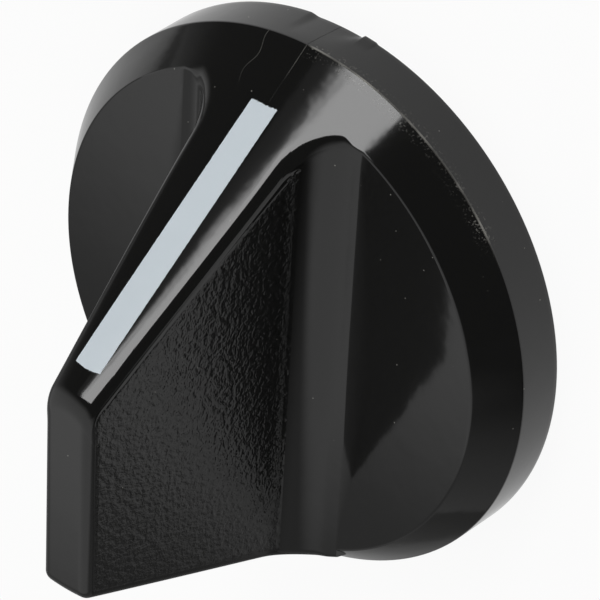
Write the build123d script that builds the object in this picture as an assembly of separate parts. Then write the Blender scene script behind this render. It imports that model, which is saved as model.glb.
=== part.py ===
from build123d import *
import math
import os

# A stove knob: a short round skirt, a cone that is cut back to a tall grip blade,
# and a hollow back with a hub for the stem.
# Millimetres. Z is the turning axis, out of the face. Y points to the pointer line, at 12 o'clock.
# The origin is the centre of the back rim.

# Skirt and cone
rim_radius = 31.75         # at the skirt's front edge
rim_height = 5.7           # from the back plane to the skirt's front edge
rim_draft_deg = 1.2        # the skirt widens a little towards the back
rim_edge_round = 0.35      # front edge of the skirt
knob_height = 40.8         # from the back plane to the blade's flat top

# Grip blade and the pockets beside it
blade_top_thickness = 6.2  # across the flat top, before its edges are rounded
blade_draft_deg = 7.4      # each side wall leans in towards the top
tip_reach = 4.43           # from the axis to the blade's 12 o'clock end at the flat top
heel_top_reach = 20.1      # from the axis to its 6 o'clock end there
heel_foot_proud = 0.9      # how far the 6 o'clock end stands out of the cone at the pocket floor
pocket_floor_rise = 4.45   # pocket floor above the skirt's front edge
cove_radius = 5.8          # hollow corner between blade wall and pocket floor
tip_round = 3.0            # where the flat top turns down into the ridge
heel_tip_round = 1.4       # where it turns down into the 6 o'clock end
side_round = 1.2           # edges along both sides of the blade and the arch over each pocket
floor_edge_round = 0.4     # outer edge of each pocket floor

# Pointer line, a stamped film that is let into the ridge
line_width = 3.4
line_depth = 0.35
line_inner_reach = 6.9     # from the axis to the end near the flat top
line_outer_reach = 26.9    # from the axis to the end near the skirt

# Hollow back
wall = 2.6
blade_core_top_gap = 9.0   # solid plastic left under the flat top
hub_radius = 7.0
hub_recess = 0.9           # the hub's end lies inside the back plane
rib_count = 4
rib_thickness = 1.8
rib_recess = 2.2           # the ribs end inside the back plane

# Stem socket: a D-shaped hole for a quarter-inch stem
stem_diameter = 6.35
stem_flat_reach = 1.575    # from the stem's axis to its flat
stem_clearance = 0.1       # all round
socket_depth = 16.0
lead_in = 0.5

# Spring clip in the flat side of the socket
clip_thickness = 0.4
clip_width = 4.6
clip_length = 12.0         # the bowed stretch
clip_hook_length = 1.6
clip_proud = 0.12          # how far the bow stands into the socket
clip_slot_depth = 1.2      # behind the flat
clip_gap = 0.05            # between the clip and its seat
clip_side_gap = 0.2
clip_end_gap = 0.5

# Lines of the outer form
ridge_tan = (knob_height - rim_height) / (rim_radius - tip_reach)
ridge_sin = math.sin(math.atan(ridge_tan))
draft_tan = math.tan(math.radians(blade_draft_deg))
draft_cos = math.cos(math.radians(blade_draft_deg))
rim_back_radius = rim_radius + rim_height * math.tan(math.radians(rim_draft_deg))
floor_z = rim_height + pocket_floor_rise
floor_edge_radius = rim_radius - pocket_floor_rise / ridge_tan
heel_tan = (knob_height - floor_z) / (floor_edge_radius + heel_foot_proud - heel_top_reach)
heel_sin = math.sin(math.atan(heel_tan))
past = knob_height         # cutting tools reach this far past the knob
tiny = 0.001               # for telling edges apart

# Where a block's own origin lies
standing = (Align.CENTER, Align.CENTER, Align.MIN)
outward = (Align.MIN, Align.CENTER, Align.MIN)
towards_y = (Align.CENTER, Align.MIN, Align.MIN)


def cone_radius(z):
    """Radius of the outer cone at a height."""
    return rim_radius - (z - rim_height) / ridge_tan


def cone_height(radius):
    """Height of the outer cone at a radius."""
    return rim_height + (rim_radius - radius) * ridge_tan


def heel_radius(z):
    """Radius of the blade's 6 o'clock end at a height."""
    return heel_top_reach + (knob_height - z) / heel_tan


def blade_half(z):
    """Half the blade's thickness at a height."""
    return blade_top_thickness / 2 + (knob_height - z) * draft_tan


# The cove is tangent to the blade wall and to the floor
cove_tangent = cove_radius * math.tan(math.radians(90 - blade_draft_deg) / 2)
cove_x = blade_half(floor_z) + cove_tangent
cove_wall_z = floor_z + cove_tangent * draft_cos
cove_mid_angle = math.radians(225 + blade_draft_deg / 2)

# Socket and clip
socket_radius = stem_diameter / 2 + stem_clearance
socket_flat_y = -(stem_flat_reach + stem_clearance)
socket_end_z = hub_recess + socket_depth
clip_slot_y = socket_flat_y - clip_slot_depth
clip_seat_y = clip_slot_y + clip_gap + clip_thickness / 2
clip_bend_radius = 2 * clip_gap + clip_thickness / 2  # at the middle of the strip
clip_crown = clip_slot_depth - clip_gap - clip_thickness + clip_proud
clip_hook_z = hub_recess - clip_gap - clip_thickness / 2
clip_end_z = clip_hook_z + clip_bend_radius + clip_length


def turned(points, arc=360.0):
    """A form turned about Z from (radius, height) points."""
    return revolve(make_face(Plane.XZ * Polyline(*points, close=True)), Axis.Z, arc)


def cone_form(inset=0.0):
    """Skirt and cone as one turned form, set in all round by a thickness measured square to the cone."""
    shift = inset / ridge_sin
    return turned([
        (0, 0),
        (rim_back_radius - shift, 0),
        (rim_radius - shift, rim_height),
        (cone_radius(knob_height) - shift, knob_height),
        (0, knob_height),
    ])


def heel_form():
    """Half a turned form on the -Y side, for the blade's 6 o'clock end."""
    half = turned([
        (0, rim_height),
        (heel_radius(rim_height), rim_height),
        (heel_top_reach, knob_height),
        (0, knob_height),
    ], 180)
    return Rot(Z=180) * half


def blade_section():
    """Section across the blade, carried along Y: walls with draft that run out in coves to the floor."""
    cove_mid_x = cove_x + cove_radius * math.cos(cove_mid_angle)
    cove_mid_z = floor_z + cove_radius + cove_radius * math.sin(cove_mid_angle)
    wall_foot = (blade_half(cove_wall_z), cove_wall_z)
    top_z = knob_height + wall
    right = [
        Line((cove_x, -wall), (cove_x, floor_z)),
        ThreePointArc((cove_x, floor_z), (cove_mid_x, cove_mid_z), wall_foot),
        Line(wall_foot, (blade_half(top_z), top_z)),
    ]
    left = [mirror(edge, Plane.YZ) for edge in right]
    ends = [
        Line((-cove_x, -wall), (cove_x, -wall)),
        Line((-blade_half(top_z), top_z), (blade_half(top_z), top_z)),
    ]
    return extrude(Plane.XZ * make_face(right + left + ends), past, both=True)


def on_blade_end(edge):
    """An edge across either end of the flat top."""
    middle = edge.center()
    at_top = abs(middle.X) < tiny and abs(middle.Z - knob_height) < tiny
    return at_top and edge.length < 2 * blade_top_thickness


def on_blade_side(edge):
    """An edge between a side of the blade and its rim of ridge, top and heel."""
    middle = edge.center()
    across = abs(middle.X) > blade_top_thickness / 4 and middle.Z > floor_z + tiny
    along_wall = edge.geom_type == GeomType.LINE and middle.Z < knob_height - tiny
    return across and not along_wall


def outer_form():
    """The knob's outside as a solid: rounded blade and arches in the middle, pocket floors on both sides."""
    cone = cone_form()
    front_edge = cone.edges().filter_by_position(Axis.Z, rim_height - tiny, rim_height + tiny)
    cone = fillet(front_edge, rim_edge_round)
    middle = (cone + heel_form()) & blade_section()
    tip = middle.edges().filter_by(lambda edge: on_blade_end(edge) and edge.center().Y > 0)
    middle = fillet(tip, tip_round)
    heel_tip = middle.edges().filter_by(lambda edge: on_blade_end(edge) and edge.center().Y < 0)
    middle = fillet(heel_tip, heel_tip_round)
    middle = fillet(middle.edges().filter_by(on_blade_side), side_round)
    side = cone & Pos(cove_x + past / 2, 0, floor_z / 2) * Box(past, 2 * past, floor_z)
    floor_edge = side.edges().filter_by(GeomType.CIRCLE).sort_by(Axis.Z)[-1]
    side = fillet(floor_edge, floor_edge_round)
    return middle + side + mirror(side, Plane.YZ)


def blade_core(base_z):
    """Tapered core up the blade, which leaves the same wall on all its sides."""
    top_z = knob_height - blade_core_top_gap
    levels = (base_z, top_z)
    half = [blade_half(z) - wall / draft_cos for z in levels]
    front = [cone_radius(z) - wall / ridge_sin for z in levels]
    heel = [wall / heel_sin - heel_radius(z) for z in levels]
    outline_across = Polyline(
        (-half[0], base_z), (half[0], base_z), (half[1], top_z), (-half[1], top_z), close=True)
    outline_along = Polyline(
        (heel[0], base_z), (front[0], base_z), (front[1], top_z), (heel[1], top_z), close=True)
    across = extrude(make_face(Plane.XZ * outline_across), past, both=True)
    along = extrude(make_face(Plane.YZ * outline_along), past, both=True)
    return across & along


def hollow_back():
    """Space inside the knob: a turned cavity and the blade's core, less the hub and the ribs."""
    ceiling_z = floor_z - wall
    bevel_wall = wall / ridge_sin
    cavity = turned([
        (0, -wall),
        (rim_back_radius - wall, -wall),
        (rim_radius - wall, cone_height(rim_radius - wall + bevel_wall)),
        (cone_radius(ceiling_z) - bevel_wall, ceiling_z),
        (0, ceiling_z),
    ])
    hub = Pos(0, 0, hub_recess) * Cylinder(hub_radius, past, align=standing)
    rib = Pos(0, 0, rib_recess) * Box(past, rib_thickness, past, align=outward)
    turn = 360 / rib_count
    space = cavity + blade_core(ceiling_z - wall / 2) - hub
    for index in range(rib_count):
        space -= Rot(Z=turn * (index + 0.5)) * rib
    return space


def stem_socket():
    """D-shaped hole up the hub, with a lead-in at its mouth and a slot for the clip behind its flat."""
    mouth_z = hub_recess - wall
    depth = socket_end_z - mouth_z
    round_hole = Pos(0, 0, mouth_z) * Cylinder(socket_radius, depth, align=standing)
    flat = Pos(0, socket_flat_y, mouth_z) * Box(past, past, depth, align=towards_y)
    funnel = turned([
        (0, mouth_z),
        (socket_radius + lead_in + wall, mouth_z),
        (socket_radius, hub_recess + lead_in),
        (0, hub_recess + lead_in),
    ])
    slot_width = clip_width + 2 * clip_side_gap
    slot_depth = clip_end_z + clip_end_gap - mouth_z
    slot = Pos(0, clip_slot_y, mouth_z) * Box(slot_width, -clip_slot_y, slot_depth, align=towards_y)
    return (round_hole & flat) + (funnel & flat) + slot


def line_recess():
    """Block for the pointer line: a straight bar that cuts into the ridge, down to the film's depth."""
    length = line_outer_reach - line_inner_reach
    bar = Pos(0, line_inner_reach, 0) * Box(line_width, length, past, align=towards_y)
    return bar - cone_form(line_depth)


def pointer_line():
    """The stamped white line, a film of even thickness on the ridge's cone."""
    return line_recess() & cone_form()


def knob_body():
    """The one-piece moulding."""
    return outer_form() - hollow_back() - stem_socket() - line_recess()


def stem_spring_clip():
    """Spring-steel strip: a hook on the hub's end, a bend, and a bow that presses on the stem's flat."""
    half_turn = 2 * math.atan(2 * clip_crown / clip_length)
    bow_radius = clip_length / (4 * math.sin(half_turn))
    bow_deg = math.degrees(half_turn)
    hook_end = (clip_seat_y - clip_bend_radius - clip_hook_length, clip_hook_z)
    hook = Line(hook_end, (clip_seat_y - clip_bend_radius, clip_hook_z))
    bend = JernArc(hook @ 1, hook % 1, clip_bend_radius, 90)
    leave = JernArc(bend @ 1, bend % 1, bow_radius, -bow_deg)
    crown = JernArc(leave @ 1, leave % 1, bow_radius, 2 * bow_deg)
    back = JernArc(crown @ 1, crown % 1, bow_radius, -bow_deg)
    strip = trace([hook, bend, leave, crown, back], clip_thickness)
    return extrude(Plane.YZ * strip, clip_width / 2, both=True)


os.makedirs("parts", exist_ok=True)
export_step(knob_body(), "parts/knob_body.step")
export_step(pointer_line(), "parts/pointer_line.step")
export_step(stem_spring_clip(), "parts/stem_spring_clip.step")
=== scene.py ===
"""A stove knob in glossy black plastic: moulded body, stamped pointer line, spring clip and stage."""

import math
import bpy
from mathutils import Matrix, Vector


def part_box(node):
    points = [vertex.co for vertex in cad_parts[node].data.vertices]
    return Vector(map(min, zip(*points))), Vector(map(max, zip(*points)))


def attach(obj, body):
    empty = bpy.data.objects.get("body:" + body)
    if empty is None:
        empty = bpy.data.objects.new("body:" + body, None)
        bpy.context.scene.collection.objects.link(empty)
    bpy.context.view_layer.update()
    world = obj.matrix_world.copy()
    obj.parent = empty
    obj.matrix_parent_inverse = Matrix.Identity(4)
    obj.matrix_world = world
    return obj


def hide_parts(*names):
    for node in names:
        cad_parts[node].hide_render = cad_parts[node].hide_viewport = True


bl_info = {
    "name": "Stove knob",
    "version": (1, 0, 0),
    "blender": (4, 5, 0),
    "location": "View3D > Sidebar > Knob",
    "description": "Builds the looks of a stove knob around its packed solids",
    "category": "Add Mesh",
}

import bmesh
import bpy
import numpy as np
from mathutils import Matrix, Vector

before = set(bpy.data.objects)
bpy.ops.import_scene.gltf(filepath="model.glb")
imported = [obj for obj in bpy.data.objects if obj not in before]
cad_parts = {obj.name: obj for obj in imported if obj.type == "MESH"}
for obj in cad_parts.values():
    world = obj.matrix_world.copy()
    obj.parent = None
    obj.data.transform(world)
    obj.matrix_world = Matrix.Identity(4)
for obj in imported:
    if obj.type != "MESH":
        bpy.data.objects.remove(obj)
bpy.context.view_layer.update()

MM = 0.001
IMAGE_PIXELS = 600
BODY = "root"

BODY_LOW, BODY_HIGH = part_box("knob_body")
LINE_LOW, LINE_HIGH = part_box("pointer_line")
UP = np.array([0.0, 0.0, 1.0])

# How far the stamped line's inner and outer ends lie right of the middle plane, in millimetres
LINE_ASKEW = (-0.16, 0.29)
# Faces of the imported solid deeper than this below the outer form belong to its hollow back, in millimetres
WELL_INSIDE = 1.5
# Steps of a blade line up the cone, and packed outside and inside the ridge
CONE_STEPS = 20
OUTER_STEPS = 24
INNER_STEPS = 28
FRONT_STEPS = CONE_STEPS + OUTER_STEPS + INNER_STEPS - 1


class KnobSizes(bpy.types.PropertyGroup):
    """Sizes of the moulding, in metres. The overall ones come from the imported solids."""

    height: bpy.props.FloatProperty(
        name="Height", description="Back plane to the blade's flat top",
        default=BODY_HIGH.z, subtype="DISTANCE", unit="LENGTH")
    back_radius: bpy.props.FloatProperty(
        name="Back radius", description="Skirt radius at the back plane",
        default=BODY_HIGH.x, subtype="DISTANCE", unit="LENGTH")
    rim_radius: bpy.props.FloatProperty(
        name="Rim radius", description="Skirt radius at its front edge",
        default=31.75 * MM, subtype="DISTANCE", unit="LENGTH")
    rim_height: bpy.props.FloatProperty(
        name="Rim height", description="Back plane to the skirt's front edge",
        default=5.7 * MM, subtype="DISTANCE", unit="LENGTH")
    rim_round: bpy.props.FloatProperty(
        name="Rim round", description="Radius of the skirt's front edge",
        default=0.35 * MM, subtype="DISTANCE", unit="LENGTH")
    back_round: bpy.props.FloatProperty(
        name="Back round", description="Radius of the skirt's back edge",
        default=0.15 * MM, subtype="DISTANCE", unit="LENGTH")
    tip_reach: bpy.props.FloatProperty(
        name="Tip reach", description="Axis to the blade's 12 o'clock end at the flat top",
        default=4.43 * MM, subtype="DISTANCE", unit="LENGTH")
    heel_reach: bpy.props.FloatProperty(
        name="Heel reach", description="Axis to the blade's 6 o'clock end at the flat top",
        default=20.1 * MM, subtype="DISTANCE", unit="LENGTH")
    heel_proud: bpy.props.FloatProperty(
        name="Heel foot", description="How far the heel stands out of the cone at the pocket floor",
        default=0.9 * MM, subtype="DISTANCE", unit="LENGTH")
    top_thickness: bpy.props.FloatProperty(
        name="Blade thickness", description="Across the flat top",
        default=6.2 * MM, subtype="DISTANCE", unit="LENGTH")
    draft: bpy.props.FloatProperty(
        name="Blade draft", description="Lean of each side of the blade",
        default=math.radians(7.4), subtype="ANGLE", unit="ROTATION")
    floor_rise: bpy.props.FloatProperty(
        name="Floor rise", description="Pocket floor above the skirt's front edge",
        default=4.45 * MM, subtype="DISTANCE", unit="LENGTH")
    cove_radius: bpy.props.FloatProperty(
        name="Cove", description="Radius of the hollow corner at the blade's foot",
        default=5.8 * MM, subtype="DISTANCE", unit="LENGTH")
    cove_x: bpy.props.FloatProperty(
        name="Cove foot", description="Blade's middle plane to the crease where the cove ends on the floor",
        default=12.18 * MM, subtype="DISTANCE", unit="LENGTH")
    cove_ramp: bpy.props.FloatProperty(
        name="Cove ramp", description="Slope that is left of the cove at that crease",
        default=math.radians(11.5), subtype="ANGLE", unit="ROTATION")
    tip_round: bpy.props.FloatProperty(
        name="Tip round", description="Where the flat top turns down into the ridge",
        default=3.0 * MM, subtype="DISTANCE", unit="LENGTH")
    heel_round: bpy.props.FloatProperty(
        name="Heel round", description="Where the flat top turns down into the heel",
        default=1.4 * MM, subtype="DISTANCE", unit="LENGTH")
    top_round: bpy.props.FloatProperty(
        name="Top round", description="Rolled edges along the flat top and the heel",
        default=1.2 * MM, subtype="DISTANCE", unit="LENGTH")
    ridge_round_tip: bpy.props.FloatProperty(
        name="Ridge round at the tip", description="Rolled edge of the ridge near the flat top",
        default=1.5 * MM, subtype="DISTANCE", unit="LENGTH")
    ridge_round_foot: bpy.props.FloatProperty(
        name="Ridge round at the foot", description="Rolled edge of the arch over each pocket",
        default=2.8 * MM, subtype="DISTANCE", unit="LENGTH")
    arch_end: bpy.props.FloatProperty(
        name="Arch end", description="Blade's middle plane to where the arch's rolled edge has run out",
        default=11.2 * MM, subtype="DISTANCE", unit="LENGTH")
    floor_round: bpy.props.FloatProperty(
        name="Floor round", description="Radius of the pocket floor's outer edge",
        default=0.4 * MM, subtype="DISTANCE", unit="LENGTH")
    grain_low: bpy.props.FloatProperty(
        name="Grain foot", description="Height at which the grain of the blade's sides runs out",
        default=13.8 * MM, subtype="DISTANCE", unit="LENGTH")
    gate_depth: bpy.props.FloatProperty(
        name="Gate flat", description="How much of the skirt's back edge is trimmed off at the gate",
        default=0.28 * MM, subtype="DISTANCE", unit="LENGTH")
    gate_nub: bpy.props.FloatProperty(
        name="Gate nub", description="How far the rest of the gate stands out of the skirt's back edge",
        default=0.13 * MM, subtype="DISTANCE", unit="LENGTH")
    line_proud: bpy.props.FloatProperty(
        name="Line film", description="How far the stamped line stands out of the ridge",
        default=0.02 * MM, subtype="DISTANCE", unit="LENGTH")
    line_depth: bpy.props.FloatProperty(
        name="Line depth", description="How deep the stamped line sits in the ridge",
        default=0.35 * MM, subtype="DISTANCE", unit="LENGTH")


class KnobColours(bpy.types.PropertyGroup):
    """Colours of the finishes, as sRGB hex values."""

    plastic: bpy.props.StringProperty(
        name="Plastic", description="Moulded black plastic", default="#0d0d0c")
    # Also the colour of the painted highlight along the skirt's front edge
    dust_and_edge_highlight: bpy.props.StringProperty(
        name="Dust", description="Dust specks and scuffs", default="#b9b7b0")
    line: bpy.props.StringProperty(
        name="Line", description="Stamped pointer line", default="#dbe5ec")
    steel: bpy.props.StringProperty(
        name="Steel", description="Spring clip", default="#a9a7a2")
    floor: bpy.props.StringProperty(
        name="Floor", description="Stage floor", default="#f4f4f2")


class KnobForm:
    """The knob's outer form in millimetres, with the lines and distances that all surfaces start from."""

    def __init__(self, sizes):
        for name in sizes.__annotations__:
            setattr(self, name, getattr(sizes, name) / MM)
        self.draft = sizes.draft
        self.cove_ramp = sizes.cove_ramp
        self.half_top = self.top_thickness / 2
        self.floor_z = self.rim_height + self.floor_rise
        self.ridge_angle = math.atan2(self.height - self.rim_height, self.rim_radius - self.tip_reach)
        self.floor_edge = self.cone_radius(self.floor_z)
        heel_run = self.floor_edge + self.heel_proud - self.heel_reach
        self.heel_angle = math.atan2(self.height - self.floor_z, heel_run)
        # The cove's round touches the wall and a ramp that runs down to the crease on the floor
        ramp_run = math.tan(self.cove_ramp)
        lean = math.tan(self.draft)
        corner_x = (self.wall_x(self.floor_z) - self.cove_x * ramp_run * lean) / (1 - ramp_run * lean)
        corner_z = self.floor_z + (self.cove_x - corner_x) * ramp_run
        turn = math.pi / 2 - self.draft - self.cove_ramp
        tangent = self.cove_radius * math.tan(turn / 2)
        self.wall_foot_z = corner_z + tangent * math.cos(self.draft)
        self.ramp_x = corner_x + tangent * math.cos(self.cove_ramp)
        self.cove_centre_x = self.ramp_x + self.cove_radius * math.sin(self.cove_ramp)
        ramp_z = corner_z - tangent * math.sin(self.cove_ramp)
        self.cove_z = ramp_z + self.cove_radius * math.cos(self.cove_ramp)
        # Where the heel's cone runs into the knob's cone
        ridge_run = 1 / math.tan(self.ridge_angle)
        heel_run = 1 / math.tan(self.heel_angle)
        self.crease_z = self.floor_z - self.heel_proud / (ridge_run - heel_run)
        # Where the skirt's rolled front edge starts on the cone
        self.skirt_lean = math.atan2(self.back_radius - self.rim_radius, self.rim_height)
        self.rim_turn = math.pi / 2 - self.ridge_angle - self.skirt_lean
        self.rim_apart = self.rim_round * math.tan(self.rim_turn / 2)
        self.rim_start = self.rim_radius - self.rim_apart * math.cos(self.ridge_angle)

    def cone_radius(self, z):
        return self.rim_radius - (z - self.rim_height) / math.tan(self.ridge_angle)

    def heel_radius(self, z):
        return self.heel_reach + (self.height - z) / math.tan(self.heel_angle)

    def wall_x(self, z):
        return self.half_top + (self.height - z) * math.tan(self.draft)

    def section_height(self, x):
        """Height of the blade's cross-section at a distance from its middle plane: top, wall, cove."""
        wall = self.height - (x - self.half_top) / math.tan(self.draft)
        reach = np.clip(self.cove_centre_x - x, 0, self.cove_radius)
        cove = self.cove_z - np.sqrt(self.cove_radius ** 2 - reach ** 2)
        ramp = self.floor_z + (self.cove_x - x) * math.tan(self.cove_ramp)
        cove = np.where(x < self.ramp_x, cove, ramp)
        on_wall = x < self.wall_x(self.wall_foot_z)
        return np.where(x < self.half_top, self.height, np.where(on_wall, wall, cove))


def eased(low, high, value):
    """0 below low, 1 above high, and a smooth S between them."""
    share = np.clip((value - low) / (high - low), 0, 1)
    return share * share * (3 - 2 * share)


def rolled_corner(first, first_way, second, second_way, radius):
    """Signed distance outside an outer corner with a rolled edge, and the way it faces.

    first and second are the distances outside two faces, and the ways are their outward directions.
    Where a ball of the radius that touches both faces is nearer, the distance is the one to that ball.
    Elsewhere it is the larger of the two distances."""
    cosine = np.clip((first_way * second_way).sum(0), -0.98, 0.98)
    p = first + radius
    q = second + radius
    first_share = p - cosine * q
    second_share = q - cosine * p
    on_ball = (first_share > 0) & (second_share > 0)
    square = np.maximum(p * first_share + q * second_share, 0) / (1 - cosine ** 2)
    distance = np.where(on_ball, np.sqrt(square) - radius, np.maximum(first, second))
    way = np.where(on_ball, first_share * first_way + second_share * second_way,
                   np.where(first > second, first_way, second_way))
    return distance, way / np.linalg.norm(way, axis=0)


def turned_distance(form, x, y, z):
    """Distance outside the turned faces: the cone and tip on the 12 o'clock side, the heel on the other."""
    r = np.maximum(np.hypot(x, y), 1e-9)
    radial = np.stack([x / r, y / r, np.zeros_like(r)])
    up = UP.reshape(3, *([1] * r.ndim)) * np.ones_like(radial)
    top = z - form.height

    def cone(angle, reach, level):
        way = math.sin(angle) * radial + math.cos(angle) * up
        return (r - reach) * math.sin(angle) + (z - level) * math.cos(angle), way

    ridge, ridge_way = cone(form.ridge_angle, form.rim_radius, form.rim_height)
    heel, heel_way = cone(form.heel_angle, form.heel_reach, form.height)
    front, front_way = rolled_corner(ridge, ridge_way, top, up, form.tip_round)
    back, back_way = rolled_corner(heel, heel_way, top, up, form.heel_round)
    on_front = (y > 0) | (front < back)
    return np.where(on_front, front, back), np.where(on_front, front_way, back_way)


def section_distance(form, x, z):
    """Distance outside the blade's cross-section: drafted wall, cove and floor, the same all along Y."""
    side = np.abs(x)
    wall = (side - form.half_top - (form.height - z) * math.tan(form.draft)) * math.cos(form.draft)
    to_centre = np.stack([form.cove_centre_x - side, form.cove_z - z])
    reach = np.maximum(np.hypot(*to_centre), 1e-9)
    angle = np.arctan2(to_centre[1], to_centre[0])
    on_wall = angle < form.draft
    past_round = angle > math.pi / 2 - form.cove_ramp
    ramp = (side - form.cove_x) * math.sin(form.cove_ramp) + (z - form.floor_z) * math.cos(form.cove_ramp)
    on_floor = past_round & (z - form.floor_z < ramp)
    on_ramp = past_round & ~on_floor
    parts = [on_wall, on_floor, on_ramp]
    distance = np.select(parts, [wall, z - form.floor_z, ramp], form.cove_radius - reach)
    across = np.select(parts, [math.cos(form.draft), 0.0, math.sin(form.cove_ramp)], to_centre[0] / reach)
    upward = np.select(parts, [math.sin(form.draft), 1.0, math.cos(form.cove_ramp)], to_centre[1] / reach)
    return distance, np.stack([np.copysign(across, x), np.zeros_like(upward), upward])


def edge_radius(form, x, y, z):
    """Radius of the rolled side edges. It grows at the arch over each pocket, with the sixth power of the
    drop from the top, and runs out where the arch stops at the pocket floor's crisp edge."""
    drop = np.clip((form.height - z) / (form.height - form.floor_z), 0, 1)
    ridge = form.ridge_round_tip + (form.ridge_round_foot - form.ridge_round_tip) * drop ** 6
    on_ridge = eased(form.tip_reach - 2.5, form.tip_reach + 1.5, y)
    rolled = form.top_round + (ridge - form.top_round) * on_ridge
    return rolled + (form.floor_round - rolled) * eased(form.arch_end - 1.8, form.arch_end, np.abs(x))


def blade_distance(form, x, y, z):
    """Distance outside the blade with its rolled edges, and the way it faces."""
    turned, turned_way = turned_distance(form, x, y, z)
    section, section_way = section_distance(form, x, z)
    return rolled_corner(turned, turned_way, section, section_way, edge_radius(form, x, y, z))


def settled_height(form, x, y):
    """Height of the blade's surface over each point, by halving the interval that holds it."""
    low = np.full_like(x, form.rim_height - 1.0)
    high = np.full_like(x, form.height + 1.0)
    for _ in range(44):
        middle = (low + high) / 2
        outside = blade_distance(form, x, y, middle)[0] > 0
        high = np.where(outside, middle, high)
        low = np.where(outside, low, middle)
    return (low + high) / 2


def span(start, end, count, power=1.0):
    """count steps from start to end, per row, without the end. A power above 1 packs them at the start."""
    share = (np.arange(count) / count) ** power
    return start[:, None] + (end - start)[:, None] * share


def blade_lines(form):
    """Distances from the blade's middle plane of the lines that the blade's surface is laid on."""
    top = form.half_top * (1 - (1 - np.linspace(0, 1, 16)) ** 1.6)
    drop = np.linspace(0, 1, 57)[1:] ** 1.35 * (form.height - form.wall_foot_z)
    wall = form.half_top + drop * math.tan(form.draft)
    turn = np.linspace(form.draft, math.pi / 2 - form.cove_ramp, 28)[1:]
    cove = form.cove_centre_x - form.cove_radius * np.cos(turn)
    ramp = np.linspace(form.ramp_x, form.cove_x, 6)[1:]
    return np.concatenate([top, wall, cove, ramp])


def blade_grid(form):
    """Half of the middle strip, from the blade's middle plane to the foot of its cove.

    Each line runs along Y at one distance from the middle plane: up the cone, over the rolled edge, along
    the blade, over the heel's edge, down the heel and down the cone. The steps are packed at both edges."""
    x = blade_lines(form)
    level = form.section_height(x)
    rim = np.sqrt(form.rim_start ** 2 - x ** 2)
    ridge = np.sqrt(form.cone_radius(level) ** 2 - x ** 2)
    heel = -np.sqrt(form.heel_radius(level) ** 2 - x ** 2)
    crease = -np.sqrt(form.cone_radius(form.crease_z) ** 2 - x ** 2)
    reach = np.maximum(3 * edge_radius(form, x, ridge, level), 2.2)
    outer = np.minimum(reach, 0.6 * (rim - ridge))
    heel_reach = np.minimum(3.6, 0.6 * (heel - crease))
    y = np.concatenate([
        span(rim, ridge + outer, CONE_STEPS),
        span(ridge, ridge + outer, OUTER_STEPS, 2.0)[:, ::-1],
        span(ridge, ridge - reach, INNER_STEPS, 2.0)[:, 1:],
        span(ridge - reach, heel + 3.6, 72),
        span(heel, heel + 3.6, 20, 2.0)[:, ::-1],
        span(heel, heel - heel_reach, 20, 2.0)[:, 1:],
        span(heel - heel_reach, crease, 20),
        span(crease, -rim, 12),
        -rim[:, None],
    ], axis=1)
    x = np.repeat(x[:, None], y.shape[1], axis=1)
    return np.stack([x, y, settled_height(form, x, y)], axis=-1)


def pocket_profile(form, r):
    """Height of the cone and the pocket floor at a radius, with the floor's small rolled edge."""
    low = np.full_like(r, form.floor_z - 6.0)
    high = np.full_like(r, form.floor_z + 1.0)
    way = np.zeros((3,) + r.shape)
    way[0], way[2] = math.sin(form.ridge_angle), math.cos(form.ridge_angle)
    up = np.zeros_like(way)
    up[2] = 1.0
    for _ in range(40):
        middle = (low + high) / 2
        cone = (r - form.rim_radius) * way[0] + (middle - form.rim_height) * way[2]
        outside = rolled_corner(cone, way, middle - form.floor_z, up, form.floor_round)[0] > 0
        high = np.where(outside, middle, high)
        low = np.where(outside, low, middle)
    return (low + high) / 2


def pocket_grid(form, seam):
    """The right pocket's floor and the cone beside it, from the foot of the cove outwards.

    seam holds the Y places of the cove's foot line. Each ring turns from a place on its front part to the
    place as far from the end on its back part, and takes up the change of radius in its last stretch. The
    floor inside the innermost ring is ruled from the ring to the seam."""
    front = seam[:FRONT_STEPS, None]
    back = seam[-FRONT_STEPS:][::-1, None]
    chord_y = seam[FRONT_STEPS - 1:1 - FRONT_STEPS]
    columns = len(chord_y)
    share = np.linspace(0, 1, columns)
    drift = share ** 8
    r = np.hypot(form.cove_x, front) * (1 - drift) + np.hypot(form.cove_x, back) * drift
    angle = np.arctan2(front, form.cove_x) * (1 - share) + np.arctan2(back, form.cove_x) * share
    rings = np.stack([r * np.cos(angle), r * np.sin(angle), pocket_profile(form, r)], axis=-1)
    chord = np.stack([np.full(columns, form.cove_x), chord_y, np.full(columns, form.floor_z)], axis=-1)
    inward = np.linspace(0, 1, 7)[1:, None, None]
    floor = rings[-1] * (1 - inward) + chord * inward
    return np.concatenate([rings, floor])


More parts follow.
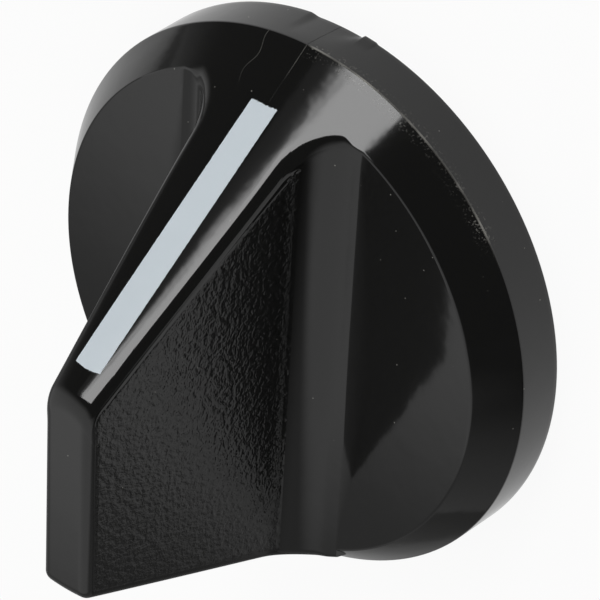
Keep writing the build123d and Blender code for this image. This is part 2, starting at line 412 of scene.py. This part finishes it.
def skirt_grid(form, ring):
    """The skirt: a profile of rolled front edge, wall and back edge, turned through the ring's angles."""
    turn = np.linspace(0, 1, 7) * form.rim_turn + form.ridge_angle
    start_r = form.rim_start
    start_z = form.rim_height + form.rim_apart * math.sin(form.ridge_angle)
    centre_r = start_r - form.rim_round * math.sin(form.ridge_angle)
    centre_z = start_z - form.rim_round * math.cos(form.ridge_angle)
    edge_r = centre_r + form.rim_round * np.sin(turn)
    edge_z = centre_z + form.rim_round * np.cos(turn)
    down = np.array([0.02, 0.06, 0.14, 0.3, 0.46, 0.62, 0.78, 0.9, 1.0])
    wall_z = edge_z[-1] + (form.back_round - edge_z[-1]) * down
    wall_r = form.back_radius - wall_z * math.tan(form.skirt_lean)
    foot = np.linspace(0, math.pi / 2, 5)[1:]
    foot_r = wall_r[-1] - form.back_round * (1 - np.cos(foot))
    foot_z = form.back_round * (1 - np.sin(foot))
    r = np.concatenate([edge_r, wall_r, foot_r])
    z = np.concatenate([edge_z, wall_z, foot_z])
    way = ring[:, :2] / np.hypot(ring[:, 0], ring[:, 1])[:, None]
    across = r[:, None, None] * way[None]
    return np.concatenate([across, np.broadcast_to(z[:, None, None], across.shape[:2] + (1,))], axis=-1)


def grid_faces(shape, first):
    """Quads of a grid of points that are numbered row by row from first."""
    index = first + np.arange(shape[0] * shape[1]).reshape(shape[:2])
    corners = [index[:-1, :-1], index[1:, :-1], index[1:, 1:], index[:-1, 1:]]
    return np.stack(corners, axis=-1).reshape(-1, 4)


def outer_half(form):
    """Points and quads of the outside's right half: blade, step at the cove's foot, pocket and skirt."""
    blade = blade_grid(form)
    seam = blade[-1, :, 1]
    pocket = pocket_grid(form, seam)
    step_z = pocket_profile(form, np.hypot(form.cove_x, seam))
    step = np.stack([blade[-1], np.stack([blade[-1, :, 0], seam, step_z], axis=-1)])
    ring = np.concatenate([blade[:, 0], pocket[0, 1:-1], blade[::-1, -1]])
    grids = [blade, step, pocket, skirt_grid(form, ring)]
    points, faces, first = [], [], 0
    for grid in grids:
        points.append(grid.reshape(-1, 3))
        faces.append(grid_faces(grid.shape, first))
        first += grid.shape[0] * grid.shape[1]
    return np.concatenate(points), np.concatenate(faces)


def inner_faces(form, solid):
    """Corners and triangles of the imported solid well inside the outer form: hollow back and socket."""
    copy = bmesh.new()
    copy.from_mesh(solid.data)
    bmesh.ops.remove_doubles(copy, verts=copy.verts, dist=0.001 * MM)
    copy.verts.index_update()
    points = np.array([v.co for v in copy.verts]) / MM
    faces = [[v.index for v in face.verts] for face in copy.faces]
    copy.free()
    x, y, z = points.T
    section = section_distance(form, x, z)[0]
    turned = turned_distance(form, x, y, z)[0]
    r = np.hypot(x, y)
    lean = r + z * math.tan(form.skirt_lean) - form.back_radius
    rise = (z - form.floor_z) * math.cos(form.ridge_angle)
    cone = (r - form.floor_edge) * math.sin(form.ridge_angle) + rise
    base = np.maximum(cone, z - form.floor_z)
    outside = np.maximum(np.minimum(np.maximum(section, turned), base), lean)
    deep = outside < -WELL_INSIDE
    return points, [face for face in faces if deep[face].all()]


def mesh_object(name, mesh):
    """A new object for a mesh, at the origin, that rides on the knob."""
    made = bpy.data.objects.new(name, mesh)
    bpy.context.scene.collection.objects.link(made)
    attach(made, BODY)
    return made


def trimmed_gate(form, points):
    """Points with the skirt's back edge trimmed flat at the moulding gate, and a small nub of it left.

    The radius changes with the clock angle near 12 o'clock, and the change fades up the skirt."""
    x, y, z = points.T
    r = np.maximum(np.hypot(x, y), 1e-9)
    clock = np.degrees(np.arctan2(x, y))
    fade = 6.4 - 5.4 * np.clip(z / 2.5, 0, 1)
    flat = eased(-6.5, -4.0, clock) * (1 - eased(fade, 6.9, clock))
    nub = eased(6.5, 7.0, clock) * (1 - eased(9.5, 10.1, clock))
    on_skirt = r > form.rim_radius - 0.3
    flat_share = np.clip(1 - z / 4.6, 0, 1)
    nub_share = 1 - eased(0.7, 1.2, z)
    longer = 1 + on_skirt * (form.gate_nub * nub * nub_share - form.gate_depth * flat * flat_share) / r
    return np.stack([x * longer, y * longer, z], axis=-1)


def body_mesh(form):
    """The whole moulding: two mirrored outer halves, the hollow back and the flat rim between them."""
    points, faces = outer_half(form)
    mirrored = points * np.array([-1.0, 1.0, 1.0])
    inside, inside_faces = inner_faces(form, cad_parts["knob_body"])
    all_points = np.concatenate([trimmed_gate(form, np.concatenate([points, mirrored])), inside]) * MM
    all_faces = faces.tolist() + (faces[:, ::-1] + len(points)).tolist()
    all_faces += [[index + 2 * len(points) for index in face] for face in inside_faces]
    mesh = bpy.data.meshes.new("knob_body_moulding")
    mesh.from_pydata(all_points.tolist(), [], all_faces)
    work = bmesh.new()
    work.from_mesh(mesh)
    bmesh.ops.remove_doubles(work, verts=work.verts, dist=0.0005 * MM)
    loose = [vert for vert in work.verts if not vert.link_faces]
    bmesh.ops.delete(work, geom=loose, context="VERTS")
    rim = [edge for edge in work.edges if edge.is_boundary]
    bmesh.ops.triangle_fill(work, use_beauty=True, edges=rim)
    bmesh.ops.recalc_face_normals(work, faces=work.faces)
    open_edges = sum(1 for edge in work.edges if not edge.is_manifold)
    work.to_mesh(mesh)
    work.free()
    if open_edges:
        raise RuntimeError("the moulding has %d open edges" % open_edges)
    return mesh


def store_grain(form, mesh):
    """Point attribute that is 1 on the grained sides of the blade and fades at their edges and foot."""
    flat = np.zeros(len(mesh.vertices) * 3)
    mesh.vertices.foreach_get("co", flat)
    x, y, z = flat.reshape(-1, 3).T / MM
    section, section_way = section_distance(form, x, z)
    turned, turned_way = turned_distance(form, x, y, z)
    cosine = (section_way * turned_way).sum(0)
    inward = -turned - edge_radius(form, x, y, z) * (1 - cosine)
    on_wall = (np.abs(section) < 0.05) & (np.abs(x) < form.cove_x)
    grain = on_wall * eased(0.0, 0.4, inward) * eased(form.grain_low - 0.15, form.grain_low + 0.15, z)
    layer = mesh.attributes.new("grain", "FLOAT", "POINT")
    layer.data.foreach_set("value", grain.astype(np.float32))


def store_scuff_and_highlight_zone(mesh):
    """Point attribute that is 1 on the clock angles where the skirt's front edge has scuffs and a painted
    highlight.
    """
    flat = np.zeros(len(mesh.vertices) * 3)
    mesh.vertices.foreach_get("co", flat)
    x, y, _ = flat.reshape(-1, 3).T
    clock = np.degrees(np.arctan2(x, y))
    scuff_and_highlight_zone = eased(1.0, 3.0, clock) * (1 - eased(50.0, 60.0, clock))
    layer = mesh.attributes.new("scuff_and_highlight_zone", "FLOAT", "POINT")
    layer.data.foreach_set("value", scuff_and_highlight_zone.astype(np.float32))


def linear(code):
    """An sRGB hex value as linear red, green, blue and alpha."""
    shares = [int(code[place:place + 2], 16) / 255 for place in (1, 3, 5)]
    return [s / 12.92 if s <= 0.04045 else ((s + 0.055) / 1.055) ** 2.4 for s in shares] + [1.0]


def node(tree, kind, inputs=None, **settings):
    """Adds a node with its settings. An input is a value, or a socket to link from."""
    made = tree.nodes.new(kind)
    for name, value in settings.items():
        setattr(made, name, value)
    for name, value in (inputs or {}).items():
        if isinstance(value, bpy.types.NodeSocket):
            tree.links.new(value, made.inputs[name])
        else:
            made.inputs[name].default_value = value
    return made


def new_material(name):
    """An empty node material with its output, and its tree."""
    material = bpy.data.materials.new(name)
    material.use_nodes = True
    material.node_tree.nodes.clear()
    return material, material.node_tree


def black_plastic(colours):
    """Moulded phenolic plastic, black through and through, from a polished mould: a hard gloss with a faint
    unevenness. The blade's sides come from a spark-eroded part of the mould and show its fine grain."""
    material, tree = new_material("moulded_black_phenolic")
    place = node(tree, "ShaderNodeTexCoord").outputs["Object"]
    grain = node(tree, "ShaderNodeAttribute", attribute_name="grain").outputs["Fac"]
    # Clock angles with scuffs and the painted highlight on the skirt's front edge
    scuff_and_highlight_zone = node(tree, "ShaderNodeAttribute", attribute_name="scuff_and_highlight_zone").outputs["Fac"]
    # Unevenness of the polished mould, about 6 mm from swell to swell
    swell = node(tree, "ShaderNodeTexNoise", {"Vector": place, "Scale": 1 / (6 * MM), "Detail": 3.0})
    # Grain of the eroded mould, about 0.7 mm from pit to pit
    pits = node(tree, "ShaderNodeTexNoise", {
        "Vector": place, "Scale": 1 / (0.68 * MM), "Detail": 2.5, "Roughness": 0.55})
    pit_height = node(tree, "ShaderNodeMath", {0: pits.outputs["Fac"], 1: grain}, operation="MULTIPLY")
    # Dust specks, about 0.1 mm across
    dust_and_edge_highlight = node(tree, "ShaderNodeTexVoronoi", {"Vector": place, "Scale": 1 / (2.2 * MM)})
    specks = node(tree, "ShaderNodeMapRange", {
        "Value": dust_and_edge_highlight.outputs["Distance"], "From Min": 0.02, "From Max": 0.04,
        "To Min": 0.6, "To Max": 0.0})
    # A painted highlight: a pale line along the skirt's front edge where it catches the key light, and real
    # small scuffs below it that break up every 0.25 mm
    axes = node(tree, "ShaderNodeSeparateXYZ", {"Vector": place})
    above = node(tree, "ShaderNodeMath", {0: axes.outputs["Z"], 1: 5.68 * MM}, operation="SUBTRACT")
    apart = node(tree, "ShaderNodeMath", {0: above.outputs[0]}, operation="ABSOLUTE")
    edge = node(tree, "ShaderNodeMapRange", {
        "Value": apart.outputs[0], "From Min": 0.07 * MM, "From Max": 0.14 * MM,
        "To Min": 0.5, "To Max": 0.0})
    near = node(tree, "ShaderNodeMapRange", {
        "Value": apart.outputs[0], "From Min": 0.1 * MM, "From Max": 1.2 * MM,
        "To Min": 0.4, "To Max": 0.0})
    rubbed = node(tree, "ShaderNodeTexNoise", {"Vector": place, "Scale": 1 / (0.25 * MM), "Detail": 3.0})
    patch_noise = node(tree, "ShaderNodeTexNoise", {"Vector": place, "Scale": 1 / (3 * MM), "Detail": 2.0})
    patches = node(tree, "ShaderNodeMapRange", {
        "Value": patch_noise.outputs["Fac"], "From Min": 0.4, "From Max": 0.6, "To Min": 0.25, "To Max": 1.0})
    flecks = node(tree, "ShaderNodeMapRange", {
        "Value": rubbed.outputs["Fac"], "From Min": 0.58, "From Max": 0.66, "To Min": 0.0, "To Max": 1.0})
    fleck_share = node(tree, "ShaderNodeMath", {
        0: flecks.outputs["Result"], 1: near.outputs["Result"]}, operation="MULTIPLY")
    edge_highlight_and_flecks = node(tree, "ShaderNodeMath", {
        0: edge.outputs["Result"], 1: fleck_share.outputs[0]}, operation="MAXIMUM")
    patchy = node(tree, "ShaderNodeMath", {
        0: edge_highlight_and_flecks.outputs[0], 1: patches.outputs["Result"]}, operation="MULTIPLY")
    # Scuffs and the painted edge highlight, kept to the clock angles from 1 to 60 degrees
    scuffs_and_edge_highlight = node(tree, "ShaderNodeMath", {0: patchy.outputs[0], 1: scuff_and_highlight_zone}, operation="MULTIPLY")
    # Knit line of the moulding, a hair's breadth wide, in a plane beside 12 o'clock outside the pointer line
    beside = node(tree, "ShaderNodeMath", {
        0: axes.outputs["X"], 1: 0.66 * MM, 2: 0.045 * MM}, operation="COMPARE")
    outside = node(tree, "ShaderNodeMath", {0: axes.outputs["Y"], 1: 27.3 * MM}, operation="GREATER_THAN")
    knit = node(tree, "ShaderNodeMath", {0: beside.outputs[0], 1: outside.outputs[0]}, operation="MULTIPLY")
    # A long scratch left of it that wavers by 0.3 mm every 2.75 mm
    swing = node(tree, "ShaderNodeMath", {
        0: axes.outputs["Y"], 1: math.tau / (2.75 * MM), 2: -math.tau * 29.75 / 2.75},
        operation="MULTIPLY_ADD")
    swung = node(tree, "ShaderNodeMath", {0: swing.outputs[0]}, operation="COSINE")
    course = node(tree, "ShaderNodeMath", {
        0: swung.outputs[0], 1: 0.29 * MM, 2: -4.2 * MM}, operation="MULTIPLY_ADD")
    scored = node(tree, "ShaderNodeMath", {
        0: axes.outputs["X"], 1: course.outputs[0], 2: 0.05 * MM}, operation="COMPARE")
    # Both are pale on the cone and fade out up the ridge
    knit_fade = node(tree, "ShaderNodeMapRange", {
        "Value": axes.outputs["Z"], "From Min": 7.6 * MM, "From Max": 9.4 * MM,
        "To Min": 0.16, "To Max": 0.0})
    score_fade = node(tree, "ShaderNodeMapRange", {
        "Value": axes.outputs["Z"], "From Min": 8.0 * MM, "From Max": 11.4 * MM,
        "To Min": 0.12, "To Max": 0.0})
    on_cone = node(tree, "ShaderNodeMath", {0: axes.outputs["Z"], 1: 5.75 * MM}, operation="GREATER_THAN")
    pale_knit = node(tree, "ShaderNodeMath", {
        0: knit.outputs[0], 1: knit_fade.outputs["Result"]}, operation="MULTIPLY")
    pale_score = node(tree, "ShaderNodeMath", {
        0: scored.outputs[0], 1: score_fade.outputs["Result"]}, operation="MULTIPLY")
    on_front = node(tree, "ShaderNodeMath", {
        0: outside.outputs[0], 1: on_cone.outputs[0]}, operation="MULTIPLY")
    lines = node(tree, "ShaderNodeMath", {
        0: pale_knit.outputs[0], 1: pale_score.outputs[0]}, operation="MAXIMUM")
    marks = node(tree, "ShaderNodeMath", {
        0: lines.outputs[0], 1: on_front.outputs[0], 2: specks.outputs["Result"]}, operation="MULTIPLY_ADD")
    pale = node(tree, "ShaderNodeMath", {0: scuffs_and_edge_highlight.outputs[0], 1: marks.outputs[0]},
                operation="ADD", use_clamp=True)
    # On the skirt the knit line is a groove too fine to mirror anything. The grain's pits mirror less too
    below = node(tree, "ShaderNodeMath", {0: axes.outputs["Z"], 1: 5.6 * MM}, operation="LESS_THAN")
    groove = node(tree, "ShaderNodeMath", {0: knit.outputs[0], 1: below.outputs[0]}, operation="MULTIPLY")
    grooved = node(tree, "ShaderNodeMath", {
        0: groove.outputs[0], 1: -0.42, 2: 0.5}, operation="MULTIPLY_ADD")
    sheen = node(tree, "ShaderNodeMath", {
        0: grain, 1: -0.07, 2: grooved.outputs[0]}, operation="MULTIPLY_ADD")
    colour = node(tree, "ShaderNodeMix", {
        0: pale.outputs[0], 6: linear(colours.plastic), 7: linear(colours.dust_and_edge_highlight)}, data_type="RGBA")
    swell_bump = node(tree, "ShaderNodeBump", {
        "Height": swell.outputs["Fac"], "Strength": 1.0, "Distance": 0.03 * MM})
    knit_bump = node(tree, "ShaderNodeBump", {
        "Height": knit.outputs[0], "Strength": 1.0, "Distance": 0.03 * MM,
        "Normal": swell_bump.outputs["Normal"]})
    grain_bump = node(tree, "ShaderNodeBump", {
        "Height": pit_height.outputs[0], "Strength": 1.0, "Distance": 0.17 * MM,
        "Normal": knit_bump.outputs["Normal"]})
    rough = node(tree, "ShaderNodeMath", {0: grain, 1: 0.1, 2: 0.08}, operation="MULTIPLY_ADD")
    dulled = node(tree, "ShaderNodeMath", {
        0: pale.outputs[0], 1: 0.4, 2: rough.outputs[0]}, operation="MULTIPLY_ADD")
    shader = node(tree, "ShaderNodeBsdfPrincipled", {
        "Base Color": colour.outputs[2], "Roughness": dulled.outputs[0],
        "Specular IOR Level": sheen.outputs[0],
        "IOR": 1.52, "Normal": grain_bump.outputs["Normal"]})
    node(tree, "ShaderNodeOutputMaterial", {"Surface": shader.outputs["BSDF"]})
    return material


def stamped_line(colours):
    """Hot-stamped foil, a pale bluish white with a satin face."""
    material, tree = new_material("hot_stamped_white_foil")
    place = node(tree, "ShaderNodeTexCoord").outputs["Object"]
    cloud = node(tree, "ShaderNodeTexNoise", {"Vector": place, "Scale": 1 / (2.5 * MM), "Detail": 4.0})
    rough = node(tree, "ShaderNodeMapRange", {
        "Value": cloud.outputs["Fac"], "From Min": 0.3, "From Max": 0.7, "To Min": 0.38, "To Max": 0.5})
    bump = node(tree, "ShaderNodeBump", {
        "Height": cloud.outputs["Fac"], "Strength": 1.0, "Distance": 0.01 * MM})
    shader = node(tree, "ShaderNodeBsdfPrincipled", {
        "Base Color": linear(colours.line), "Roughness": rough.outputs["Result"], "IOR": 1.48,
        "Normal": bump.outputs["Normal"]})
    node(tree, "ShaderNodeOutputMaterial", {"Surface": shader.outputs["BSDF"]})
    return material


def spring_steel(colours):
    """Cold-rolled spring steel strip with fine rolling lines along its length."""
    material, tree = new_material("cold_rolled_spring_steel")
    place = node(tree, "ShaderNodeTexCoord").outputs["Object"]
    # Rolling lines 0.1 mm apart, drawn out along Z
    drawn = node(tree, "ShaderNodeMapping", {
        "Vector": place, "Scale": (1 / (0.1 * MM), 1 / (0.1 * MM), 1 / (6 * MM))})
    lines = node(tree, "ShaderNodeTexNoise", {
        "Vector": drawn.outputs["Vector"], "Scale": 1.0, "Detail": 2.0})
    rough = node(tree, "ShaderNodeMapRange", {
        "Value": lines.outputs["Fac"], "From Min": 0.3, "From Max": 0.7, "To Min": 0.28, "To Max": 0.42})
    bump = node(tree, "ShaderNodeBump", {
        "Height": lines.outputs["Fac"], "Strength": 0.5, "Distance": 0.01 * MM})
    shader = node(tree, "ShaderNodeBsdfPrincipled", {
        "Base Color": linear(colours.steel), "Metallic": 1.0, "Roughness": rough.outputs["Result"],
        "Normal": bump.outputs["Normal"]})
    node(tree, "ShaderNodeOutputMaterial", {"Surface": shader.outputs["BSDF"]})
    return material


class KNOB_OT_body(bpy.types.Operator):
    """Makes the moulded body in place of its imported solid"""

    bl_idname = "knob.body"
    bl_label = "Moulded body"

    def execute(self, context):
        form = KnobForm(context.scene.knob_sizes)
        mesh = body_mesh(form)
        store_grain(form, mesh)
        store_scuff_and_highlight_zone(mesh)
        mesh.polygons.foreach_set("use_smooth", np.ones(len(mesh.polygons), bool))
        mesh.set_sharp_from_angle(angle=math.radians(32))
        body = mesh_object("knob_body_moulding", mesh)
        mesh.materials.append(black_plastic(context.scene.knob_colours))
        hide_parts("knob_body")
        return {"FINISHED"}


def line_mesh(form):
    """The stamped line: a strip of the ridge's cone between two Y places, with a lower face and sides."""
    half = LINE_HIGH.x / MM
    share = np.linspace(0, 1, 161)
    x, share = np.meshgrid(np.linspace(-half, half, 41), share)
    torn = np.random.default_rng(7)
    inner = LINE_LOW.y / MM - 0.07 + torn.normal(0, 0.02, x.shape[1])
    outer = LINE_HIGH.y / MM + 0.11 + torn.normal(0, 0.035, x.shape[1])
    y = inner + (outer - inner) * share
    # The stamp sits slightly askew, and its long edges waver a little
    x = x + LINE_ASKEW[0] + (LINE_ASKEW[1] - LINE_ASKEW[0]) * share
    x = x + np.repeat(torn.normal(0, 0.012, (x.shape[0], 1)), x.shape[1], axis=1)

    def sheet(proud):
        lift = proud / math.cos(form.ridge_angle)
        cone = form.rim_height + (form.rim_radius - np.hypot(x, y)) * math.tan(form.ridge_angle)
        return np.stack([x, y, cone + lift], axis=-1)

    upper = sheet(form.line_proud)
    lower = sheet(-form.line_depth)
    points = np.concatenate([upper.reshape(-1, 3), lower.reshape(-1, 3)])
    index = np.arange(x.size).reshape(x.shape)
    border = np.concatenate([index[0], index[1:, -1], index[-1, -2::-1], index[-2:0:-1, 0]])
    onward = np.roll(border, -1)
    sides = np.stack([border, onward, onward + x.size, border + x.size], axis=-1)
    faces = np.concatenate([grid_faces(x.shape, 0), grid_faces(x.shape, x.size)[:, ::-1], sides])
    mesh = bpy.data.meshes.new("pointer_line_film")
    mesh.from_pydata((points * MM).tolist(), [], faces.tolist())
    work = bmesh.new()
    work.from_mesh(mesh)
    bmesh.ops.recalc_face_normals(work, faces=work.faces)
    work.to_mesh(mesh)
    work.free()
    return mesh


class KNOB_OT_pointer_line(bpy.types.Operator):
    """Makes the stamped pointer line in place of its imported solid"""

    bl_idname = "knob.pointer_line"
    bl_label = "Pointer line"

    def execute(self, context):
        mesh = line_mesh(KnobForm(context.scene.knob_sizes))
        mesh.polygons.foreach_set("use_smooth", np.ones(len(mesh.polygons), bool))
        mesh.set_sharp_from_angle(angle=math.radians(40))
        line = mesh_object("pointer_line_film", mesh)
        mesh.materials.append(stamped_line(context.scene.knob_colours))
        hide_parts("pointer_line")
        return {"FINISHED"}


class KNOB_OT_spring_clip(bpy.types.Operator):
    """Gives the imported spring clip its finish"""

    bl_idname = "knob.spring_clip"
    bl_label = "Spring clip"

    def execute(self, context):
        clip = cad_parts["stem_spring_clip"]
        clip.data.materials.clear()
        clip.data.materials.append(spring_steel(context.scene.knob_colours))
        return {"FINISHED"}


def tent_share(tree, way):
    """Brightness of the tent in a direction: dark above the tip and white behind the heel."""
    towards = Vector((-0.35, -0.78, 0.52)).normalized()
    facing = node(tree, "ShaderNodeVectorMath", {0: way, 1: towards}, operation="DOT_PRODUCT")
    share = node(tree, "ShaderNodeMapRange", {
        "Value": facing.outputs["Value"], "From Min": 0.0, "From Max": 0.45, "To Min": 0.12, "To Max": 1.0},
        interpolation_type="SMOOTHSTEP")
    return share.outputs["Result"]


def tent_world(scene):
    """A white tent that is open towards the camera: pale behind the heel, dark above the tip."""
    world = bpy.data.worlds.new("white_tent")
    world.use_nodes = True
    tree = world.node_tree
    tree.nodes.clear()
    way = node(tree, "ShaderNodeTexCoord").outputs["Generated"]
    path = node(tree, "ShaderNodeLightPath")
    shown = node(tree, "ShaderNodeMix", {
        0: path.outputs["Is Camera Ray"], 2: tent_share(tree, way), 3: 1.0}, data_type="FLOAT")
    light = node(tree, "ShaderNodeBackground", {"Strength": shown.outputs[0]})
    node(tree, "ShaderNodeOutputWorld", {"Surface": light.outputs["Background"]})
    scene.world = world


def tent_panel():
    """One panel of the tent, a patch of a sphere close round the knob on the heel's side.

    Its cloth gets darker towards its lower edge, so surfaces low on the heel's side mirror less light.
    The strength is the world's own share for that direction, times a smooth rise with height."""
    radius = 0.15
    across, up = np.meshgrid(np.linspace(-1.3, 1.9, 41), np.linspace(0.02, 1.5, 33))
    turn = across - 0.42
    points = radius * np.stack([np.sin(turn) * np.cos(up), -np.cos(turn) * np.cos(up), np.sin(up)], axis=-1)
    mesh = bpy.data.meshes.new("tent_panel")
    mesh.from_pydata(points.reshape(-1, 3).tolist(), [], grid_faces(across.shape, 0).tolist())
    material, tree = new_material("tent_cloth")
    place = node(tree, "ShaderNodeTexCoord").outputs["Object"]
    way = node(tree, "ShaderNodeVectorMath", {0: place}, operation="NORMALIZE").outputs["Vector"]
    axes = node(tree, "ShaderNodeSeparateXYZ", {"Vector": place})
    aside = node(tree, "ShaderNodeMath", {0: axes.outputs["X"], 1: 0.0}, operation="MAXIMUM")
    tilted = node(tree, "ShaderNodeVectorMath", {0: place, 1: (0.0, 0.5, 1.0)}, operation="DOT_PRODUCT")
    level = node(tree, "ShaderNodeMath", {
        0: aside.outputs[0], 1: 0.27, 2: tilted.outputs["Value"]}, operation="MULTIPLY_ADD")
    rise = node(tree, "ShaderNodeMapRange", {
        "Value": level.outputs[0], "From Min": 0.044, "From Max": 0.08, "To Min": 0.32, "To Max": 0.84},
        interpolation_type="SMOOTHSTEP")
    strength = node(tree, "ShaderNodeMath", {
        0: tent_share(tree, way), 1: rise.outputs["Result"]}, operation="MULTIPLY")
    glow = node(tree, "ShaderNodeEmission", {"Strength": strength.outputs[0]})
    node(tree, "ShaderNodeOutputMaterial", {"Surface": glow.outputs[0]})
    mesh.materials.append(material)
    panel = bpy.data.objects.new("tent_panel", mesh)
    panel.visible_camera = False
    panel.visible_diffuse = False
    panel.visible_shadow = False
    bpy.context.scene.collection.objects.link(panel)


def pale_floor(colours):
    """Matt pale board. The camera sees it as white, with a little of the knob's shadow."""
    material, tree = new_material("pale_board")
    path = node(tree, "ShaderNodeLightPath")
    looked = node(tree, "ShaderNodeMath", {
        0: path.outputs["Is Camera Ray"], 1: path.outputs["Is Glossy Ray"]}, operation="MAXIMUM")
    shown = node(tree, "ShaderNodeMath", {
        0: looked.outputs[0], 1: path.outputs["Is Transmission Ray"]}, operation="MAXIMUM")
    seen = node(tree, "ShaderNodeMath", {0: shown.outputs[0], 1: 0.92}, operation="MULTIPLY")
    # Painted shadow: mirrored in the knob, the board's white glow is turned down towards the heel's side,
    # where the knob's shadow falls
    place = node(tree, "ShaderNodeTexCoord").outputs["Object"]
    axes = node(tree, "ShaderNodeSeparateXYZ", {"Vector": place})
    towards = node(tree, "ShaderNodeMath", {
        0: axes.outputs["X"], 1: 0.45, 2: axes.outputs["Y"]}, operation="MULTIPLY_ADD")
    # How much of the white glow the painted shadow takes away, by place on the board
    painted_shadow = node(tree, "ShaderNodeMapRange", {
        "Value": towards.outputs[0], "From Min": -0.048, "From Max": -0.008,
        "To Min": -0.88, "To Max": -0.22})
    strength = node(tree, "ShaderNodeMath", {
        0: path.outputs["Is Glossy Ray"], 1: painted_shadow.outputs["Result"], 2: 1.0}, operation="MULTIPLY_ADD")
    board = node(tree, "ShaderNodeBsdfDiffuse", {"Color": linear(colours.floor)})
    white = node(tree, "ShaderNodeEmission", {"Color": (1, 1, 1, 1), "Strength": strength.outputs[0]})
    mixed = node(tree, "ShaderNodeMixShader", {
        0: seen.outputs[0], 1: board.outputs[0], 2: white.outputs[0]})
    node(tree, "ShaderNodeOutputMaterial", {"Surface": mixed.outputs[0]})
    return material


def softbox(name, towards, distance, size, strength):
    """An area light that looks at the knob from a direction, and falls off across its width to one side."""
    way = Vector(towards).normalized()
    data = bpy.data.lights.new(name, "AREA")
    data.shape = "RECTANGLE"
    data.size, data.size_y = size
    data.energy = math.pi * size[0] * size[1]
    data.use_nodes = True
    tree = data.node_tree
    tree.nodes.clear()
    cloth = node(tree, "ShaderNodeNewGeometry")
    across = node(tree, "ShaderNodeSeparateXYZ", {"Vector": cloth.outputs["Parametric"]})
    folds = node(tree, "ShaderNodeTexNoise", {
        "Vector": cloth.outputs["Parametric"], "Scale": 9.0, "Detail": 3.0})
    border = node(tree, "ShaderNodeMath", {
        0: folds.outputs["Fac"], 1: 0.4, 2: across.outputs["X"]}, operation="MULTIPLY_ADD")
    fall = node(tree, "ShaderNodeMapRange", {
        "Value": border.outputs[0], "From Min": 0.79, "From Max": 1.02, "To Min": strength, "To Max": 0.15},
        interpolation_type="SMOOTHERSTEP")
    glow = node(tree, "ShaderNodeEmission", {"Strength": fall.outputs["Result"]})
    node(tree, "ShaderNodeOutputLight", {"Surface": glow.outputs[0]})
    lamp = bpy.data.objects.new(name, data)
    lamp.location = way * distance + Vector((0, 0, BODY_HIGH.z / 2))
    lamp.rotation_euler = way.to_track_quat("Z", "Y").to_euler()
    lamp.visible_camera = False
    bpy.context.scene.collection.objects.link(lamp)
    return lamp


def photo_camera(scene, form):
    """Camera at the photograph's viewing angle, with axes and distance from a fit to the skirt's circles."""
    toward = Vector((0.5124, 0.5599, 0.6511)).normalized()
    right = Vector((0.7648, 0.0473, -0.6425))
    right = (right - toward * right.dot(toward)).normalized()
    up = toward.cross(right)
    focal_pixels = 3693.0
    distance = 12.547 * form.rim_radius
    place = toward * distance + right * 0.0397 * form.rim_radius - up * 0.01 * form.rim_radius
    place.z += form.rim_height
    data = bpy.data.cameras.new("photo_camera")
    data.sensor_width = 36.0
    data.lens = data.sensor_width * focal_pixels / IMAGE_PIXELS
    data.clip_start = 0.01
    camera = bpy.data.objects.new("photo_camera", data)
    turn = Matrix((right, up, toward)).transposed().to_4x4()
    camera.matrix_world = Matrix.Translation(place * MM) @ turn
    scene.collection.objects.link(camera)
    scene.camera = camera


class KNOB_OT_stage(bpy.types.Operator):
    """Makes the floor, the lights and the camera"""

    bl_idname = "knob.stage"
    bl_label = "Stage"

    def execute(self, context):
        scene = context.scene
        scene.view_settings.view_transform = "Standard"
        mesh = bpy.data.meshes.new("stage_floor")
        reach = 1.5
        level = -0.02 * MM
        mesh.from_pydata([(-reach, -reach, level), (reach, -reach, level),
                          (reach, reach, level), (-reach, reach, level)], [], [(0, 1, 2, 3)])
        mesh.materials.append(pale_floor(scene.knob_colours))
        floor = bpy.data.objects.new("stage_floor", mesh)
        scene.collection.objects.link(floor)
        tent_world(scene)
        tent_panel()
        softbox("key_softbox", (-0.125, 0.855, 0.5), 0.7, (0.41, 0.32), 6.3)
        photo_camera(scene, KnobForm(scene.knob_sizes))
        return {"FINISHED"}


class KNOB_PT_panel(bpy.types.Panel):
    """Lists the steps that build the knob"""

    bl_label = "Stove knob"
    bl_idname = "KNOB_PT_panel"
    bl_space_type = "VIEW_3D"
    bl_region_type = "UI"
    bl_category = "Knob"

    def draw(self, context):
        for step in STEPS:
            self.layout.operator(step.bl_idname)


STEPS = (KNOB_OT_body, KNOB_OT_pointer_line, KNOB_OT_spring_clip, KNOB_OT_stage)
CLASSES = (KnobSizes, KnobColours) + STEPS + (KNOB_PT_panel,)


def register():
    for one in CLASSES:
        bpy.utils.register_class(one)
    bpy.types.Scene.knob_sizes = bpy.props.PointerProperty(type=KnobSizes)
    bpy.types.Scene.knob_colours = bpy.props.PointerProperty(type=KnobColours)


def unregister():
    del bpy.types.Scene.knob_colours
    del bpy.types.Scene.knob_sizes
    for one in reversed(CLASSES):
        bpy.utils.unregister_class(one)


def main():
    register()
    bpy.ops.knob.body()
    bpy.ops.knob.pointer_line()
    bpy.ops.knob.spring_clip()
    bpy.ops.knob.stage()


if __name__ == "__main__":
    main()
